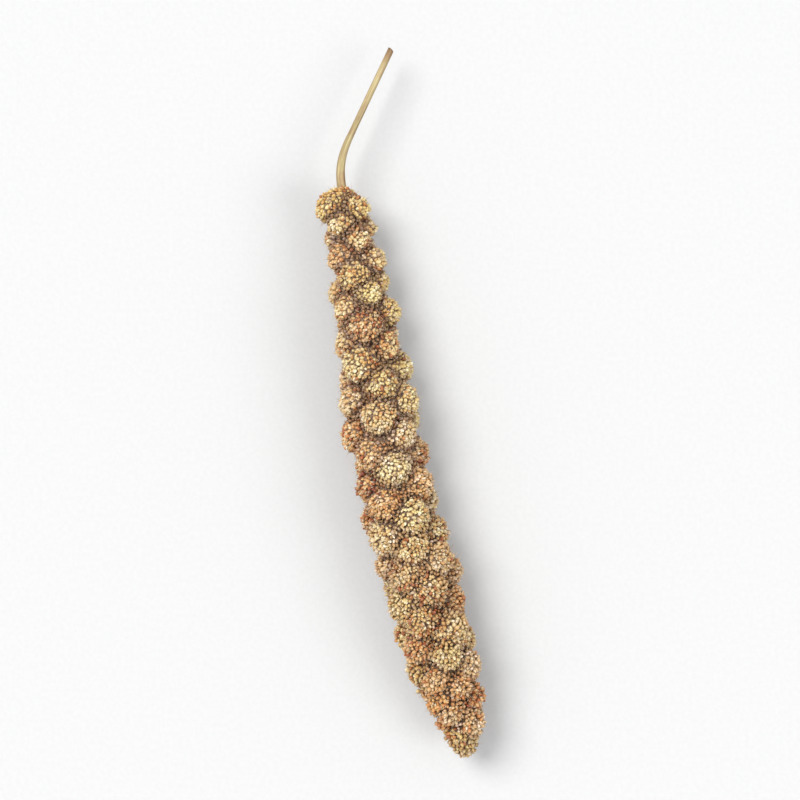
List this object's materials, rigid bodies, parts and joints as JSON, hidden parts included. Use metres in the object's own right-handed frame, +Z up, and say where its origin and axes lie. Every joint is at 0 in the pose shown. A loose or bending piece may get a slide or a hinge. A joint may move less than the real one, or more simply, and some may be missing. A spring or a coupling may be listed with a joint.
{
  "type": "millet seed head",
  "caption": "Dried red foxtail millet seed head lying on its side: a bent stalk and a long head of rounded lobes covered with small seeds.",
  "frame": {"origin": "on the surface that the seed head lies on, under the middle of its bounding box", "axes": "+Z up from the surface, +Y along the length towards the stalk's cut end, +X to the right as seen from above with the stalk at the top"},
  "size_m": [0.0539, 0.2274, 0.0284],
  "materials": {
    "straw": "dry straw-coloured stalk with fine lengthwise ribs, satin, and a paler pithy cut end",
    "seeds": "small glossy red-brown to tan seeds with paler papery husks and short bristles"
  },
  "bodies": {
    "root": {"stalk": "straw", "seed_head": "seeds"}
  },
  "joints": []
}
